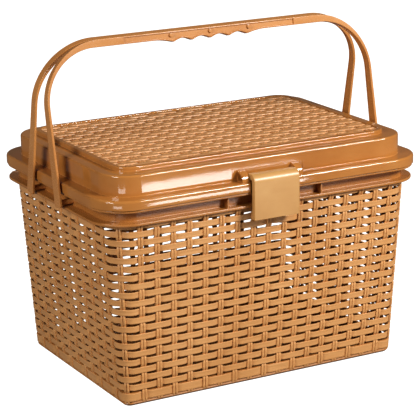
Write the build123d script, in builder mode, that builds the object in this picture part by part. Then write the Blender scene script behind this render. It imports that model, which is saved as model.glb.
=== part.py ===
"""Moulded picnic basket: a woven-look tub, a domed lid, two latches and two bail handles.

+X runs along the basket's length, +Z is up and the front faces -Y. The origin is the
middle of the footprint, on the surface that the basket stands on. Millimetres.
"""
import os
from math import asin, cos, radians, sin, tan

from build123d import *

os.makedirs("parts", exist_ok=True)

# Tub: a tapered wall, a ledge, a set-back collar and a rim.
BASE_HALF_X, BASE_HALF_Y = 170.5, 118.6
BASE_CORNER = 17.7
BASE_EDGE = 8.0
WALL_TAPER = 4.7
WALL = 2.4
FLOOR = 2.6
LEDGE_TOP = 209.0
LEDGE_THICK = 3.0
LEDGE_HALF_X, LEDGE_HALF_Y, LEDGE_CORNER = 198.2, 140.2, 40.0
COLLAR_HALF_X, COLLAR_HALF_Y, COLLAR_CORNER = 186.5, 130.4, 30.0
RIM_TOP = 223.7
RIM_THICK = 2.5
RIM_HALF_X, RIM_HALF_Y, RIM_CORNER = 197.8, 142.4, 39.6
RIB_X = 58.0
RIB_SHIFT = 4.4
RIB_THICK = 2.0

# Lid: a flange with a skirt, a dome, a framed panel on top and a locating lip below.
FLANGE_BOTTOM, FLANGE_TOP = 224.0, 234.7
FLANGE_HALF_X, FLANGE_HALF_Y, FLANGE_CORNER = 199.2, 143.8, 41.0
SKIRT = 2.4
DOME_HALF_X, DOME_HALF_Y, DOME_CORNER = 184.7, 129.6, 34.0
DOME_TOP = 257.4
DOME_EDGE = 2.5
LID_WALL = 2.6
PANEL_HALF_X, PANEL_HALF_Y, PANEL_CORNER = 168.0, 112.5, 20.0
PANEL_TOP = 262.0
FRAME_WIDTH = 6.0
FRAME_DEPTH = 1.8
LIP_HALF_X, LIP_HALF_Y, LIP_CORNER = 183.6, 127.5, 27.1
LIP_THICK = 2.0
LIP_BOTTOM = 217.2

# Latches: clips that hinge between two hollow ears on the lid's flange.
LATCH_WIDTH = 56.0
LATCH_FACE = 150.0
LATCH_BOTTOM = 194.0
LATCH_PLATE = 2.4
LATCH_SHOULDER = 8.0
LATCH_RETURN = 5.8
LATCH_BEAD = 4.4
HINGE_OUT, HINGE_Z = 136.8, 239.3
KNUCKLE_R = 3.8
LATCH_PIN_R = 2.0
NOTCH_HALF = 29.0
EAR_INNER, EAR_OUTER = 28.8, 37.5
EAR_CHEEK = 2.5
EAR_SKIN = 1.8
EAR_RADIUS = 11.3
EAR_STANDOFF = 0.6

# Bail handles: each one lies in a plane that leans in until the two bars meet.
PIVOT_OUT, PIVOT_Z = 36.0, 213.0
PEG_R = 3.0
PEG_END = 183.9
BAIL_HALF_X = 204.6
BAIL_LEG = 2.8
BAIL_WIDTH = 8.2
STRAP_WIDTH = 15.0
BEND_WIDTH = 10.8
BAIL_RISE = 167.6
BAIL_FOOT = 5.2
FOOT_ROUND = 3.0
BAIL_CORNER = 67.0
BAR_DEPTH = 8.4
FINGER_PITCH = 23.2
FINGER_DEPTH = 3.4
BAR_GAP = 0.4
RECESS_HALF = 108.0
RECESS_DEPTH = 1.6
RECESS_RIM = 1.5
BOSS_PITCH = 49.0
BOSS_R = 2.4
CHANNEL_WIDTH = 8.0
CHANNEL_DEPTH = 0.8

PIN_CLEARANCE = 0.08

ledge_bottom = LEDGE_TOP - LEDGE_THICK
rim_bottom = RIM_TOP - RIM_THICK
wall_growth = tan(radians(WALL_TAPER))
bail_lean = asin((PIVOT_OUT - BAIL_WIDTH / 2 - BAR_GAP / 2) / BAIL_RISE)
FRONT_AND_REAR = {"front": -1, "rear": 1}
ENDS = (-1, 1)


def outline(half_x, half_y, corner, inset=0.0, mode=Mode.ADD):
    """Draw a rounded rectangle about the origin in the open sketch."""
    RectangleRounded(2 * (half_x - inset), 2 * (half_y - inset), corner - inset, mode=mode)


def section_plane(x, facing):
    """Give the plane across the length at x: its x is outward to one side, its y is up."""
    return Plane(origin=(x, 0, 0), x_dir=(0, facing, 0), z_dir=(facing, 0, 0))


def bail_plane(facing):
    """Give the plane a bail lies in: origin on its pivot axis, y up along its legs."""
    outward = (0, facing * cos(bail_lean), sin(bail_lean))
    return Plane(origin=(0, facing * PIVOT_OUT, PIVOT_Z), x_dir=(-facing, 0, 0), z_dir=outward)


def bail_side_plane(facing):
    """Give the plane across a bail: origin on its pivot axis, x outward, y up along its legs."""
    outward = (0, facing * cos(bail_lean), sin(bail_lean))
    return Plane(origin=(0, facing * PIVOT_OUT, PIVOT_Z), x_dir=outward, z_dir=(facing, 0, 0))


# --- Tub ---------------------------------------------------------------------------
with BuildPart() as tub:
    # Tapered wall, with a rounded edge under it.
    with BuildSketch(Plane.XY):
        outline(BASE_HALF_X, BASE_HALF_Y, BASE_CORNER)
    extrude(amount=ledge_bottom, taper=-WALL_TAPER)
    fillet(tub.edges().group_by(Axis.Z)[0], BASE_EDGE)

    # Ledge that stands out over the wall.
    with BuildSketch(Plane.XY.offset(ledge_bottom)):
        outline(LEDGE_HALF_X, LEDGE_HALF_Y, LEDGE_CORNER)
    extrude(amount=LEDGE_THICK)
    fillet(tub.edges().group_by(Axis.Z)[-1], LEDGE_THICK / 3)

    # Collar and rim, with the gutter left between them and the ledge.
    with BuildSketch(Plane.XY.offset(LEDGE_TOP)):
        outline(COLLAR_HALF_X, COLLAR_HALF_Y, COLLAR_CORNER)
    extrude(amount=RIM_TOP - LEDGE_TOP)
    with BuildSketch(Plane.XY.offset(rim_bottom)):
        outline(RIM_HALF_X, RIM_HALF_Y, RIM_CORNER)
    extrude(amount=RIM_THICK)

    # Ribs across the gutter, one on each side of each latch.
    for facing in FRONT_AND_REAR.values():
        for end in ENDS:
            with BuildSketch(section_plane(end * RIB_X - facing * RIB_SHIFT, facing)):
                with Locations(((COLLAR_HALF_Y + LEDGE_HALF_Y) / 2, (LEDGE_TOP + rim_bottom) / 2)):
                    Rectangle(LEDGE_HALF_Y - COLLAR_HALF_Y - 1, rim_bottom - LEDGE_TOP + 1)
            extrude(amount=RIB_THICK / 2, both=True)

    # The hollow: a tapered pocket, then the straight mouth inside the collar.
    with BuildSketch(Plane.XY.offset(FLOOR)):
        outline(
            BASE_HALF_X + FLOOR * wall_growth,
            BASE_HALF_Y + FLOOR * wall_growth,
            BASE_CORNER + FLOOR * wall_growth,
            inset=WALL,
        )
    extrude(amount=ledge_bottom - FLOOR, taper=-WALL_TAPER, mode=Mode.SUBTRACT)
    with BuildSketch(Plane.XY.offset(ledge_bottom)):
        outline(COLLAR_HALF_X, COLLAR_HALF_Y, COLLAR_CORNER, inset=WALL)
    extrude(amount=RIM_TOP - ledge_bottom, mode=Mode.SUBTRACT)

    # Bearing holes for the pegs of both handles.
    for facing in FRONT_AND_REAR.values():
        with BuildSketch(section_plane(0, facing)):
            with Locations((PIVOT_OUT, PIVOT_Z)):
                Circle(PEG_R + PIN_CLEARANCE)
        extrude(amount=COLLAR_HALF_X + 1, both=True, mode=Mode.SUBTRACT)

tub.part.label = "tub"
export_step(tub.part, "parts/tub.step")


# --- Lid ---------------------------------------------------------------------------
def trace_ear(radius, root, foot):
    """Trace an ear's quarter-round section against the dome, in the open line."""
    centre = DOME_HALF_Y + EAR_STANDOFF
    Polyline((centre, FLANGE_TOP + radius), (root, FLANGE_TOP + radius), (root, foot),
             (centre + radius, foot), (centre + radius, FLANGE_TOP))
    CenterArc((centre, FLANGE_TOP), radius, 0, 90)


with BuildPart() as lid:
    # Flange and dome, solid at first.
    with BuildSketch(Plane.XY.offset(FLANGE_BOTTOM)):
        outline(FLANGE_HALF_X, FLANGE_HALF_Y, FLANGE_CORNER)
    extrude(amount=FLANGE_TOP - FLANGE_BOTTOM)
    fillet(lid.edges().group_by(Axis.Z)[-1], SKIRT)
    with BuildSketch(Plane.XY.offset(FLANGE_TOP)):
        outline(DOME_HALF_X, DOME_HALF_Y, DOME_CORNER)
    extrude(amount=DOME_TOP - FLANGE_TOP)
    fillet(lid.edges().group_by(Axis.Z)[-1], DOME_EDGE)

    # Raised panel on the dome, sunk inside its frame.
    with BuildSketch(Plane.XY.offset(DOME_TOP)):
        outline(PANEL_HALF_X, PANEL_HALF_Y, PANEL_CORNER)
    extrude(amount=PANEL_TOP - DOME_TOP)
    fillet(lid.edges().group_by(Axis.Z)[-1], FRAME_WIDTH / 4)
    with BuildSketch(Plane.XY.offset(PANEL_TOP)):
        outline(PANEL_HALF_X, PANEL_HALF_Y, PANEL_CORNER, inset=FRAME_WIDTH)
    extrude(amount=-FRAME_DEPTH, mode=Mode.SUBTRACT)

    # The hollow: inside the skirt, inside the dome, then under the panel.
    with BuildSketch(Plane.XY.offset(FLANGE_BOTTOM)):
        outline(FLANGE_HALF_X, FLANGE_HALF_Y, FLANGE_CORNER, inset=SKIRT)
    extrude(amount=FLANGE_TOP - SKIRT - FLANGE_BOTTOM, mode=Mode.SUBTRACT)
    with BuildSketch(Plane.XY.offset(FLANGE_BOTTOM)):
        outline(DOME_HALF_X, DOME_HALF_Y, DOME_CORNER, inset=LID_WALL)
    extrude(amount=DOME_TOP - LID_WALL - FLANGE_BOTTOM, mode=Mode.SUBTRACT)
    with BuildSketch(Plane.XY.offset(DOME_TOP - LID_WALL)):
        outline(PANEL_HALF_X, PANEL_HALF_Y, PANEL_CORNER, inset=LID_WALL)
    extrude(amount=PANEL_TOP - FRAME_DEPTH - DOME_TOP, mode=Mode.SUBTRACT)

    # Locating lip that drops into the tub's mouth.
    with BuildSketch(Plane.XY.offset(LIP_BOTTOM)):
        outline(LIP_HALF_X, LIP_HALF_Y, LIP_CORNER)
        outline(LIP_HALF_X, LIP_HALF_Y, LIP_CORNER, inset=LIP_THICK, mode=Mode.SUBTRACT)
    extrude(amount=FLANGE_TOP - SKIRT / 2 - LIP_BOTTOM)

    for facing in FRONT_AND_REAR.values():
        # Notch in the skirt for the latch.
        with BuildSketch(section_plane(0, facing)):
            with Locations((FLANGE_HALF_Y, (FLANGE_BOTTOM + FLANGE_TOP) / 2)):
                Rectangle(2 * SKIRT, FLANGE_TOP - FLANGE_BOTTOM + 1)
        extrude(amount=NOTCH_HALF, both=True, mode=Mode.SUBTRACT)

        for end in ENDS:
            # Ear: a quarter-round block, then its pocket, open at the outer end.
            toward = end * facing
            with BuildSketch(section_plane(end * EAR_INNER, facing)):
                with BuildLine():
                    trace_ear(EAR_RADIUS, DOME_HALF_Y - LID_WALL / 2, FLANGE_TOP - 1)
                make_face()
            extrude(amount=toward * (EAR_OUTER - EAR_INNER))
            with BuildSketch(section_plane(end * (EAR_INNER + EAR_CHEEK), facing)):
                with BuildLine():
                    trace_ear(EAR_RADIUS - EAR_SKIN, DOME_HALF_Y + 0.1, FLANGE_TOP - 0.01)
                make_face()
            extrude(amount=toward * (EAR_OUTER - EAR_INNER), mode=Mode.SUBTRACT)

        # Hinge holes through the ears' cheeks.
        with BuildSketch(section_plane(0, facing)):
            with Locations((HINGE_OUT, HINGE_Z)):
                Circle(LATCH_PIN_R + PIN_CLEARANCE)
        extrude(amount=EAR_INNER + EAR_CHEEK + 1, both=True, mode=Mode.SUBTRACT)

lid.part.label = "lid"
export_step(lid.part, "parts/lid.step")


# --- Latches -----------------------------------------------------------------------
def trace_hook(thickness):
    """Trace the latch's bent plate: over the flange, round the shoulder, down the front."""
    top = HINGE_Z + KNUCKLE_R
    bend_out = LATCH_FACE - LATCH_SHOULDER
    bend_z = top - LATCH_SHOULDER
    CenterArc((bend_out, bend_z), LATCH_SHOULDER, 0, 90)
    Polyline((LATCH_FACE, bend_z), (LATCH_FACE, LATCH_BOTTOM),
             (LATCH_FACE - thickness, LATCH_BOTTOM), (LATCH_FACE - thickness, bend_z))
    CenterArc((bend_out, bend_z), LATCH_SHOULDER - thickness, 0, 90)
    Polyline((bend_out, top - thickness), (HINGE_OUT, top - thickness), (HINGE_OUT, top),
             (bend_out, top))


for place, facing in FRONT_AND_REAR.items():
    with BuildPart() as latch:
        # Bent plate and its hinge knuckle.
        with BuildSketch(section_plane(0, facing)):
            with BuildLine():
                trace_hook(LATCH_PLATE)
            make_face()
            with Locations((HINGE_OUT, HINGE_Z)):
                Circle(KNUCKLE_R)
        extrude(amount=LATCH_WIDTH / 2, both=True)

        # A deeper return along each side edge.
        for end in ENDS:
            with BuildSketch(section_plane(end * LATCH_WIDTH / 2, facing)):
                with BuildLine():
                    trace_hook(LATCH_RETURN)
                make_face()
            extrude(amount=-end * facing * LATCH_PLATE)

        # Snap bead, which sits under the tub's rim.
        with BuildSketch(section_plane(0, facing)):
            with BuildLine():
                Polyline(
                    (LATCH_FACE - LATCH_PLATE / 2, rim_bottom - 0.4),
                    (LATCH_FACE - LATCH_PLATE - LATCH_BEAD, rim_bottom - 0.6),
                    (LATCH_FACE - LATCH_PLATE - LATCH_BEAD, rim_bottom - 1.6),
                    (LATCH_FACE - LATCH_PLATE / 2, rim_bottom - 6.0),
                    close=True,
                )
            make_face()
        extrude(amount=LATCH_WIDTH / 2 - LATCH_PLATE, both=True)

        # Hinge pins.
        with BuildSketch(section_plane(0, facing)):
            with Locations((HINGE_OUT, HINGE_Z)):
                Circle(LATCH_PIN_R)
        extrude(amount=EAR_INNER + EAR_CHEEK + 0.6, both=True)

    latch.part.label = f"{place}_latch"
    export_step(latch.part, f"parts/{place}_latch.step")


# --- Bail handles ------------------------------------------------------------------
def trace_bail(half_x, rise, corner):
    """Trace the inverted U between its feet, in the open line."""
    shoulder = rise - corner
    CenterArc((half_x - corner, shoulder), corner, 0, 90)
    Line((half_x - corner, rise), (corner - half_x, rise))
    CenterArc((corner - half_x, shoulder), corner, 90, 90)
    Polyline((-half_x, shoulder), (-half_x, -BAIL_FOOT), (half_x, -BAIL_FOOT), (half_x, shoulder))


def trace_side():
    """Trace the bail from the side: wide feet, narrower at the bends, narrowest at the bar."""
    bend = BAIL_RISE - BAIL_CORNER
    Polyline((-STRAP_WIDTH / 2, -BAIL_FOOT), (STRAP_WIDTH / 2, -BAIL_FOOT),
             (BEND_WIDTH / 2, bend), (BAIL_WIDTH / 2, BAIL_RISE - BAR_DEPTH),
             (BAIL_WIDTH / 2, BAIL_RISE), (-BAIL_WIDTH / 2, BAIL_RISE),
             (-BAIL_WIDTH / 2, BAIL_RISE - BAR_DEPTH), (-BEND_WIDTH / 2, bend), close=True)


def trace_grip():
    """Trace the strip under the bar that carries five cusps and four finger hollows."""
    root = BAIL_RISE - BAR_DEPTH
    tip = root - FINGER_DEPTH
    reach = 3 * FINGER_PITCH
    for step in range(-2, 2):
        left = step * FINGER_PITCH
        ThreePointArc((left, tip), (left + FINGER_PITCH / 2, root), (left + FINGER_PITCH, tip))
    Polyline((2 * FINGER_PITCH, tip), (reach, root), (reach, root + 1),
             (-reach, root + 1), (-reach, root), (-2 * FINGER_PITCH, tip))


for place, facing in FRONT_AND_REAR.items():
    plane = bail_plane(facing)
    with BuildPart() as bail:
        # Inverted U: straps for legs, which narrow toward the bar.
        with BuildSketch(plane):
            with BuildLine():
                trace_bail(BAIL_HALF_X, BAIL_RISE, BAIL_CORNER)
            make_face()
        extrude(amount=STRAP_WIDTH / 2, both=True)
        with BuildSketch(plane):
            with BuildLine():
                trace_bail(BAIL_HALF_X - BAIL_LEG, BAIL_RISE - BAR_DEPTH, BAIL_CORNER - BAR_DEPTH)
            make_face()
        extrude(amount=STRAP_WIDTH, both=True, mode=Mode.SUBTRACT)
        with BuildSketch(bail_side_plane(facing)):
            with BuildLine():
                trace_side()
            make_face()
        extrude(amount=BAIL_HALF_X, both=True, mode=Mode.INTERSECT)

        # Finger grip under the bar.
        with BuildSketch(plane):
            with BuildLine():
                trace_grip()
            make_face()
        extrude(amount=BAIL_WIDTH / 2, both=True)

        # Rounded corners on the feet.
        feet = bail.edges().filter_by(Axis.X).group_by(Axis.Z)[:2]
        fillet(feet[0] + feet[1], FOOT_ROUND)

        # Recess along the bar's outer face, with its snap bosses.
        with BuildSketch(plane.offset(BAIL_WIDTH / 2)):
            with Locations((0, BAIL_RISE - BAR_DEPTH / 2)):
                SlotOverall(2 * RECESS_HALF, BAR_DEPTH - 2 * RECESS_RIM)
        extrude(amount=-RECESS_DEPTH, mode=Mode.SUBTRACT)
        with BuildSketch(plane.offset(BAIL_WIDTH / 2 - RECESS_DEPTH)):
            with Locations((0, BAIL_RISE - BAR_DEPTH / 2)):
                with GridLocations(BOSS_PITCH, 1, 3, 1):
                    Circle(BOSS_R)
        extrude(amount=RECESS_DEPTH)

        # Channel down the inner face of each leg.
        with BuildSketch(plane):
            for end in ENDS:
                with Locations((end * (BAIL_HALF_X - BAIL_LEG), (BAIL_RISE - BAIL_CORNER) / 2)):
                    Rectangle(2 * CHANNEL_DEPTH, BAIL_RISE - BAIL_CORNER - 4 * PEG_R)
        extrude(amount=CHANNEL_WIDTH / 2, both=True, mode=Mode.SUBTRACT)

        # Pegs that run across the gutter into the collar.
        for end in ENDS:
            with BuildSketch(section_plane(end * (BAIL_HALF_X - BAIL_LEG / 2), facing)):
                with Locations((PIVOT_OUT, PIVOT_Z)):
                    Circle(PEG_R)
            extrude(amount=-end * facing * (BAIL_HALF_X - BAIL_LEG / 2 - PEG_END))

    bail.part.label = f"{place}_handle"
    export_step(bail.part, f"parts/{place}_handle.step")
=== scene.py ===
# %% [markdown]
# # A moulded picnic basket
# The basket looks like wicker, but it is all moulded polypropylene: a tub whose walls copy a
# weave, a domed lid with a woven-look panel, two clip latches and two bail handles. The packed
# CAD model is the frame. It says where everything is and how it moves, and each CAD part is
# stood for here by pieces with the full relief of the real mouldings.
# %% Load the frame
from math import asin, atan2, copysign, cos, hypot, pi, radians, sin, tan

import bmesh
import bpy
from mathutils import Matrix, Vector


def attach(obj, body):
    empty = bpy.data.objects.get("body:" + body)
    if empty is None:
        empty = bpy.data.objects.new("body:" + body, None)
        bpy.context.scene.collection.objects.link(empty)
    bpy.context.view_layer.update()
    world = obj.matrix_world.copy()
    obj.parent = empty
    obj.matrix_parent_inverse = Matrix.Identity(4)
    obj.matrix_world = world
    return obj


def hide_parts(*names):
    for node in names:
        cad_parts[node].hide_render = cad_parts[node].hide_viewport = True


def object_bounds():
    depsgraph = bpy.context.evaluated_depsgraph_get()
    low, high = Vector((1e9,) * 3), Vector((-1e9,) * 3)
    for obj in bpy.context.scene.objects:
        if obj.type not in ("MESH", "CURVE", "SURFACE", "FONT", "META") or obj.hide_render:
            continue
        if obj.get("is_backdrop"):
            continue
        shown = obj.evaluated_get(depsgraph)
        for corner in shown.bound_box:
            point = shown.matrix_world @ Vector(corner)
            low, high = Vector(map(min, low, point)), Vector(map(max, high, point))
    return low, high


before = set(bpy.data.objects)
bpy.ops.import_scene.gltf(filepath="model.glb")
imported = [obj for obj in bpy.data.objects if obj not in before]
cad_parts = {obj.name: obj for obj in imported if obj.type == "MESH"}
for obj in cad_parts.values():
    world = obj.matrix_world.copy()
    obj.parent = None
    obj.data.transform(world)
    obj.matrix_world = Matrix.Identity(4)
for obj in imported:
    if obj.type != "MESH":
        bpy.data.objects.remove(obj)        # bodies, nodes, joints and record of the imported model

cad_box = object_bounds()
print("CAD box:", [round(1000 * (high - low), 1) for low, high in zip(*cad_box)], "mm")

# %% [markdown]
# ## Camera
# A long lens from a little above and to the left flattens the perspective, so that the basket's
# long edges stay almost parallel. The camera's axes are worked out from three turns: round the
# basket, up, and a small roll. Setting the whole matrix at once avoids a chain of rotations that
# is easy to get wrong.
# %% Camera
AROUND, ABOVE, ROLL = radians(28.87), radians(15.68), radians(-0.88)
CAMERA_DISTANCE = 2.1222
LENS, SENSOR = 159.95, 36              # millimetres
AIM = Vector((0.0005, -0.0003, 0.1664))

backward = Vector((-sin(AROUND) * cos(ABOVE), -cos(AROUND) * cos(ABOVE), sin(ABOVE)))
level_right = (-backward).cross(Vector((0, 0, 1))).normalized()
level_up = backward.cross(level_right)
right = level_right * cos(ROLL) + level_up * sin(ROLL)
up = level_up * cos(ROLL) - level_right * sin(ROLL)

camera = bpy.data.objects.new("Camera", bpy.data.cameras.new("Camera"))
bpy.context.collection.objects.link(camera)
camera.matrix_world = Matrix.LocRotScale(
    AIM + backward * CAMERA_DISTANCE, Matrix((right, up, backward)).transposed(), None)
camera.data.sensor_width = SENSOR
camera.data.lens = LENS
camera.data.clip_end = 20
bpy.context.scene.camera = camera
print("camera at", [round(c, 3) for c in camera.location])

# %% [markdown]
# ## Studio
# Everything round the basket should look white, yet if a white room also lit it, the slots in
# the weave would fill with light and turn pale. The light path node separates the two. A ray
# from the camera sees a bright room, a mirror reflection sees a dim one, and a diffuse ray sees
# a dimmer one still. The contrast look deepens the slots and grooves a little more.
# The shading comes from soft rectangles: a key from the front right, a weaker fill on the left,
# and two low, narrow cards that only show as bright bands in the glossy dome.
# %% Studio
bpy.context.scene.view_settings.view_transform = "Standard"
bpy.context.scene.view_settings.look = "Medium High Contrast"
CAMERA_GLOW, MIRROR_GLOW, ROOM_GLOW = 1.0, 0.10, 0.05

world = bpy.context.scene.world or bpy.data.worlds.new("World")
bpy.context.scene.world = world
world.use_nodes = True


def glow_by_ray(nodes, links):
    """A node whose value is the room's glow for each kind of ray."""
    path = nodes.new("ShaderNodeLightPath")
    for_mirror = nodes.new("ShaderNodeMix")
    for_mirror.inputs["A"].default_value = ROOM_GLOW
    for_mirror.inputs["B"].default_value = MIRROR_GLOW
    for_camera = nodes.new("ShaderNodeMix")
    for_camera.inputs["B"].default_value = CAMERA_GLOW
    links.new(path.outputs["Is Glossy Ray"], for_mirror.inputs["Factor"])
    links.new(path.outputs["Is Camera Ray"], for_camera.inputs["Factor"])
    links.new(for_mirror.outputs["Result"], for_camera.inputs["A"])
    return for_camera


room = world.node_tree
room.nodes.clear()
air = room.nodes.new("ShaderNodeBackground")
air.inputs["Color"].default_value = (0.99, 0.995, 1, 1)
world_output = room.nodes.new("ShaderNodeOutputWorld")
room.links.new(glow_by_ray(room.nodes, room.links).outputs["Result"], air.inputs["Strength"])
room.links.new(air.outputs["Background"], world_output.inputs["Surface"])


def softbox(name, place, look_at, wide, tall, power):
    """A soft rectangular light at `place`, turned to face `look_at`."""
    lamp = bpy.data.lights.new(name, "AREA")
    lamp.shape = "RECTANGLE"
    lamp.size, lamp.size_y = wide, tall
    lamp.energy = power
    holder = bpy.data.objects.new(name, lamp)
    holder.location = place
    holder.rotation_euler = (Vector(look_at) - Vector(place)).to_track_quat("-Z", "Y").to_euler()
    bpy.context.collection.objects.link(holder)
    return holder


BASKET_MIDDLE = (0, 0, 0.15)
softbox("Key", (0.95, -1.5, 1.25), BASKET_MIDDLE, 0.55, 0.45, 43)
softbox("Card", (0.313, -0.80, 0.0485), (0.313, 0, 0.0485), 0.266, 0.033, 0.36)
softbox("Sliver", (-0.685, -0.635, 0.050), (-0.17, -0.12, 0.150), 0.33, 0.030, 0.17)
softbox("Fill", (-1.5, -0.6, 0.9), BASKET_MIDDLE, 0.6, 0.6, 16)

# %% Floor
FLOOR_HALF, FLOOR_DROP = 6, 0.0003
floor_shape = bmesh.new()
bmesh.ops.create_grid(floor_shape, x_segments=1, y_segments=1, size=FLOOR_HALF)
floor_mesh = bpy.data.meshes.new("Floor")
floor_shape.to_mesh(floor_mesh)
floor_shape.free()
floor = bpy.data.objects.new("Floor", floor_mesh)
bpy.context.collection.objects.link(floor)
floor.location.z = -FLOOR_DROP
floor_paint = bpy.data.materials.new("Pale_Floor")
floor_paint.use_nodes = True
paint_tree = floor_paint.node_tree
paint = paint_tree.nodes["Principled BSDF"]
paint.inputs["Base Color"].default_value = (0.13, 0.12, 0.11, 1)
paint.inputs["Roughness"].default_value = 0.8
paint.inputs["Specular IOR Level"].default_value = 0.1
paint.inputs["Emission Color"].default_value = (1, 1, 1, 1)
floor_glow = glow_by_ray(paint_tree.nodes, paint_tree.links)
paint_tree.links.new(floor_glow.outputs["Result"], paint.inputs["Emission Strength"])
floor_mesh.materials.append(floor_paint)
floor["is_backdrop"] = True

# %% [markdown]
# ## Caramel polypropylene
# Every piece is the same coloured plastic, in a few finishes. Each part also scales the tones by its
# own tint. The woven parts and latches are made paler and whiter, which is painted sheen, and the lid
# and the tub's rim and base are made darker, which is painted shade.
# The woven parts are satin and carry fine lines along each strand, as the tool was engraved. The
# latches are satin without lines, the rim and handles smoother, and the lid polished, with the faint
# waviness that shrinkage leaves.
# All are one recipe: a slow noise
# shifts the tone, a stretched noise draws the grain and cuts the bump, and a fine one breaks up
# the gloss. The grain follows the strands because its coordinates are stretched along them.
# %% Plastic recipe
DARK_TONE = (0.45, 0.188, 0.054)
MAIN_TONE = (0.53, 0.240, 0.078)
PALE_TONE = (0.60, 0.295, 0.108)
FINE = 1500      # noise cells to the metre across a strand
LONG = 26        # noise cells to the metre along it
CLOUD_CELLS, SPECK_CELLS, SWELL_CELLS = 14, 900, 42
TONE_STOPS = (0.25, 0.5, 0.75)
NOISE_LOW, NOISE_HIGH = 0.3, 0.7   # a noise texture seldom leaves this range
PLASTIC_IOR = 1.5


def noise(nodes, links, where, scale, detail, spread=(1, 1, 1)):
    """A noise texture on Object coordinates, stretched by `spread`."""
    mapping = nodes.new("ShaderNodeMapping")
    mapping.inputs["Scale"].default_value = spread
    texture = nodes.new("ShaderNodeTexNoise")
    texture.inputs["Scale"].default_value = scale
    texture.inputs["Detail"].default_value = detail
    links.new(where.outputs["Object"], mapping.inputs["Vector"])
    links.new(mapping.outputs["Vector"], texture.inputs["Vector"])
    return texture


def plastic(name, tint, grain, rough, grain_tone, depths):
    """Caramel plastic of one finish.

    `tint` scales the three channels of the tones. This gives the paler copies that paint sheen and the
    darker ones that paint shade. `grain` stretches the lines, `rough` is the least and most roughness
    and `depths` are the bump depths of the swell, the lines and the specks.
    """
    material = bpy.data.materials.new(name)
    material.use_nodes = True
    nodes, links = material.node_tree.nodes, material.node_tree.links
    shader = nodes["Principled BSDF"]
    where = nodes.new("ShaderNodeTexCoord")
    slow = noise(nodes, links, where, CLOUD_CELLS, 3)
    lines = noise(nodes, links, where, 1, 5, grain)
    speck = noise(nodes, links, where, SPECK_CELLS, 2)
    swell = noise(nodes, links, where, SWELL_CELLS, 1)

    tone = nodes.new("ShaderNodeValToRGB")
    tone.color_ramp.elements.new(TONE_STOPS[1])
    for stop, place, colour in zip(tone.color_ramp.elements, TONE_STOPS,
                                   (DARK_TONE, MAIN_TONE, PALE_TONE)):
        stop.position = place
        stop.color = (*(share * channel for share, channel in zip(tint, colour)), 1)
    blend = nodes.new("ShaderNodeMix")
    blend.inputs["Factor"].default_value = grain_tone
    links.new(slow.outputs["Fac"], blend.inputs["A"])
    links.new(lines.outputs["Fac"], blend.inputs["B"])
    links.new(blend.outputs["Result"], tone.inputs["Fac"])
    links.new(tone.outputs["Color"], shader.inputs["Base Color"])

    gloss = nodes.new("ShaderNodeMapRange")
    for socket, value in zip(("From Min", "From Max", "To Min", "To Max"),
                             (NOISE_LOW, NOISE_HIGH, *rough)):
        gloss.inputs[socket].default_value = value
    links.new(speck.outputs["Fac"], gloss.inputs["Value"])
    links.new(gloss.outputs["Result"], shader.inputs["Roughness"])

    relief = None
    for texture, depth in zip((swell, lines, speck), depths):
        bump = nodes.new("ShaderNodeBump")
        bump.inputs["Strength"].default_value = 1.0
        bump.inputs["Distance"].default_value = depth
        links.new(texture.outputs["Fac"], bump.inputs["Height"])
        if relief:
            links.new(relief.outputs["Normal"], bump.inputs["Normal"])
        relief = bump
    links.new(relief.outputs["Normal"], shader.inputs["Normal"])
    shader.inputs["IOR"].default_value = PLASTIC_IOR
    return material


SATIN, MOULDED, SMOOTH, POLISHED = (0.30, 0.42), (0.22, 0.34), (0.20, 0.30), (0.03, 0.06)
WEFT_GRAIN, STAKE_GRAIN, PLAIN_GRAIN = 0.55, 0.5, 0.2   # how much the lines show in the colour
SOFT_GRAIN = 0.25
SHEET_LINES, RIM_LINES, GRIP_LINES = (50, 50, 120), (60, 60, 240), (40, 160, 160)
WOVEN = (0.0001, 0.00020, 0.00001)
POLISHED_DEPTHS, SMOOTH_DEPTHS = (0.00006, 0.00001, 0.000005), (0.00015, 0.00003, 0.00001)
# The tints are lighter and darker copies of the one plastic. The paler, whiter woven, panel and latch
# tints are painted sheen, and the darker lid and tub tints are painted shade. The handles stay close to
# the plain tones.
WOVEN_SHEEN_TINT, PANEL_SHEEN_TINT, LATCH_SHEEN_TINT = (1.18, 1.31, 1.50), (1.14, 1.22, 1.40), (0.98, 1.16, 1.24)
LID_SHADE_TINT, TUB_SHADE_TINT, HANDLE_TINT = (0.80, 0.73, 0.56), (0.78, 0.71, 0.56), (0.95, 0.92, 0.84)
wall_weft_plastic = plastic("Weft_Plastic", WOVEN_SHEEN_TINT, (LONG, LONG, FINE), SATIN, WEFT_GRAIN, WOVEN)
stake_plastic = plastic("Stake_Plastic", WOVEN_SHEEN_TINT, (FINE, FINE, LONG), SATIN, STAKE_GRAIN, WOVEN)
panel_weft_plastic = plastic("Panel_Weft_Plastic", PANEL_SHEEN_TINT, (LONG, FINE, LONG), SATIN, WEFT_GRAIN,
                             WOVEN)
panel_stake_plastic = plastic("Panel_Stake_Plastic", PANEL_SHEEN_TINT, (FINE, LONG, LONG), SATIN,
                              STAKE_GRAIN, WOVEN)
tub_plastic = plastic("Tub_Plastic", TUB_SHADE_TINT, RIM_LINES, MOULDED, SOFT_GRAIN, SMOOTH_DEPTHS)
lid_plastic = plastic("Lid_Plastic", LID_SHADE_TINT, SHEET_LINES, POLISHED, PLAIN_GRAIN, POLISHED_DEPTHS)
latch_plastic = plastic("Latch_Plastic", LATCH_SHEEN_TINT, SHEET_LINES, SATIN, PLAIN_GRAIN, SMOOTH_DEPTHS)
handle_plastic = plastic("Handle_Plastic", HANDLE_TINT, GRIP_LINES, SMOOTH, SOFT_GRAIN, SMOOTH_DEPTHS)
print("finishes:", [m.name for m in bpy.data.materials if m.name.endswith("_Plastic")])

# %% [markdown]
# ## From a bmesh to a finished piece
# Pieces with large flat faces also get weighted normals, so that only their rounded edges
# shade round. Counting open edges each time catches a seam that didn't close.
# %% Finish a piece
CREASE = radians(38)


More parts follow.
